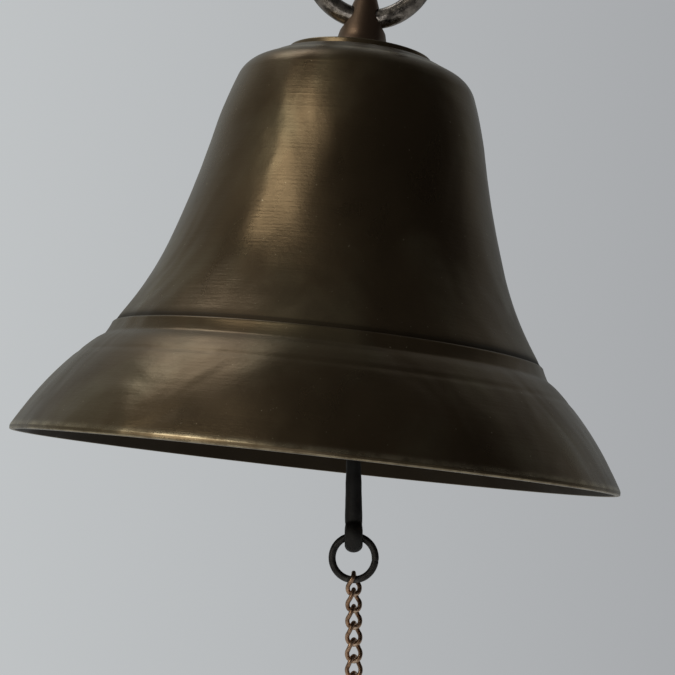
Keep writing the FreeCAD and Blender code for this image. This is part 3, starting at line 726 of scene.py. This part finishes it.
def make_chain():
    """The links, each turned a little from the last near the top of the chain."""
    def ends(t):
        return max(math.exp(-((abs(t - c)) / 0.05) ** 2) for c in (0.25, 0.75))

    def seam(t):
        return 0.735 - 0.09 * math.exp(-((t - 0.03) / 0.006) ** 2)

    path = link_path()
    names = sorted(n for n in frame["nodes"] if n.startswith("chain_link_"))
    for number, node in enumerate(names):
        turn = FIRST_LINK_TURN - LINK_TURN_STEP * min(number, LINK_TURN_STEPS)
        place = Matrix.Translation(box_centre(node)) @ Matrix.Rotation(math.radians(turn), 4, "Z")
        link = tube("curb_" + node[-2:], path, seam, place, 18, ends)
        dress(link, CHAIN, node, "chain_brass", node)


make_chain()


# --- carried-over CAD nodes ------------------------------------------------------

for node, material in (("crown_washer", INNER_STEEL), ("crown_nut", INNER_STEEL),
                       ("clapper_staple", INNER_STEEL), ("clapper_ball", BLACK_IRON),
                       ("ball_pin", INNER_STEEL)):
    for slot in frame["nodes"][node].material_slots:
        slot.material = material


# --- floor, light and camera -----------------------------------------------------

def make_floor():
    level = cad_box[0][2] - 0.12
    ring, rings = 96, (0.25, 0.6, 1.1, 1.6)
    points = [(0, 0, level / MM)]
    for r in rings:
        points += [(r / MM * math.cos(2 * math.pi * j / ring), r / MM * math.sin(2 * math.pi * j / ring),
                    level / MM) for j in range(ring)]
    faces = [(0, 1 + j, 1 + (j + 1) % ring) for j in range(ring)]
    for i in range(len(rings) - 1):
        a, b = 1 + i * ring, 1 + (i + 1) * ring
        faces += [(a + j, b + j, b + (j + 1) % ring, a + (j + 1) % ring) for j in range(ring)]
    floor = make_object("floor", points, faces, Matrix.Identity(4))
    s = Shader("floor", 0.0, (0.6, 0.6, 0.6))
    s.colour(s.mix(s.range(s.noise(3, 2), 0.3, 0.7), (0.86, 0.87, 0.88), (0.9, 0.905, 0.91)))
    s.surface.inputs["Roughness"].default_value = 0.85
    s.surface.inputs["Emission Color"].default_value = (0.85, 0.87, 0.9, 1)
    s.surface.inputs["Emission Strength"].default_value = 0.18
    floor.data.materials.append(s.material)


def area_light(name, at, aim, width, height, power, tint=(1, 1, 1)):
    data = bpy.data.lights.new(name, "AREA")
    data.shape, data.size, data.size_y, data.energy, data.color = "RECTANGLE", width, height, power, tint
    lamp = bpy.data.objects.new(name, data)
    lamp.location = at
    lamp.rotation_euler = (Vector(aim) - Vector(at)).to_track_quat("-Z", "Y").to_euler()
    bpy.context.scene.collection.objects.link(lamp)


def make_world():
    """A pale surround to the eye, painted lighter at the left and darker at the right as if lit from the
    left, and a dimmer room in the reflections.
    """
    world = bpy.data.worlds.new("studio")
    bpy.context.scene.world = world
    world.use_nodes = True
    tree = world.node_tree
    tree.nodes.clear()
    out = tree.nodes.new("ShaderNodeOutputWorld")
    mix = tree.nodes.new("ShaderNodeMixShader")
    path = tree.nodes.new("ShaderNodeLightPath")
    room, seen = tree.nodes.new("ShaderNodeBackground"), tree.nodes.new("ShaderNodeBackground")
    coords = tree.nodes.new("ShaderNodeTexCoord")
    split = tree.nodes.new("ShaderNodeSeparateXYZ")
    fade = tree.nodes.new("ShaderNodeMapRange")
    fade.inputs["From Min"].default_value, fade.inputs["From Max"].default_value = -0.2, 0.25
    # painted light on the backdrop: the camera's surround runs from pale at the left to darker at the
    # right
    backdrop_painted_falloff = tree.nodes.new("ShaderNodeMix")
    backdrop_painted_falloff.data_type = "RGBA"
    backdrop_painted_falloff.inputs[6].default_value = (0.53, 0.55, 0.56, 1)
    backdrop_painted_falloff.inputs[7].default_value = (0.36, 0.37, 0.385, 1)
    tree.links.new(coords.outputs["Generated"], split.inputs[0])
    tree.links.new(split.outputs["X"], fade.inputs["Value"])
    tree.links.new(fade.outputs["Result"], backdrop_painted_falloff.inputs[0])
    tree.links.new(backdrop_painted_falloff.outputs[2], seen.inputs["Color"])
    behind = tree.nodes.new("ShaderNodeMapRange")
    behind.inputs["From Min"].default_value, behind.inputs["From Max"].default_value = 0.1, 0.55
    side = tree.nodes.new("ShaderNodeMapRange")
    side.inputs["From Min"].default_value, side.inputs["From Max"].default_value = -0.9, 0.3
    front = tree.nodes.new("ShaderNodeMix")
    front.data_type = "RGBA"
    front.inputs[6].default_value = (0.15, 0.15, 0.14, 1)
    front.inputs[7].default_value = (0.028, 0.028, 0.03, 1)
    whole = tree.nodes.new("ShaderNodeMix")
    whole.data_type = "RGBA"
    wall = tree.nodes.new("ShaderNodeMix")
    wall.data_type = "RGBA"
    wall.inputs[6].default_value = (0.43, 0.445, 0.42, 1)
    wall.inputs[7].default_value = (0.21, 0.22, 0.22, 1)
    tree.links.new(side.outputs["Result"], wall.inputs[0])
    tree.links.new(wall.outputs[2], whole.inputs[7])
    tree.links.new(split.outputs["X"], side.inputs["Value"])
    tree.links.new(split.outputs["Y"], behind.inputs["Value"])
    tree.links.new(side.outputs["Result"], front.inputs[0])
    tree.links.new(behind.outputs["Result"], whole.inputs[0])
    tree.links.new(front.outputs[2], whole.inputs[6])
    tree.links.new(whole.outputs[2], room.inputs["Color"])
    tree.links.new(path.outputs["Is Camera Ray"], mix.inputs[0])
    tree.links.new(room.outputs[0], mix.inputs[1])
    tree.links.new(seen.outputs[0], mix.inputs[2])
    tree.links.new(mix.outputs[0], out.inputs["Surface"])


make_floor()
make_world()
area_light("key", (-0.93, -0.95, 0.42), (-0.03, 0, -0.12), 0.7, 1.15, 8.5, (1.0, 0.96, 0.84))
area_light("top_fill", (-0.55, 0.25, 1.1), (0, 0, -0.1), 0.5, 0.5, 2.0)
area_light("front_fill", (-0.25, -1.5, -0.2), (0, 0, -0.15), 0.6, 0.6, 0.9)

bpy.context.scene.view_settings.view_transform = "Standard"

camera_data = bpy.data.cameras.new("camera")
camera_data.lens = 98.0
camera_data.sensor_width = 36.0
camera = bpy.data.objects.new("camera", camera_data)
camera.location = (-0.0085, -0.607, -0.2)
camera.rotation_euler = (math.radians(90 + 5.35), 0, math.radians(0.25))
bpy.context.scene.collection.objects.link(camera)
bpy.context.scene.camera = camera
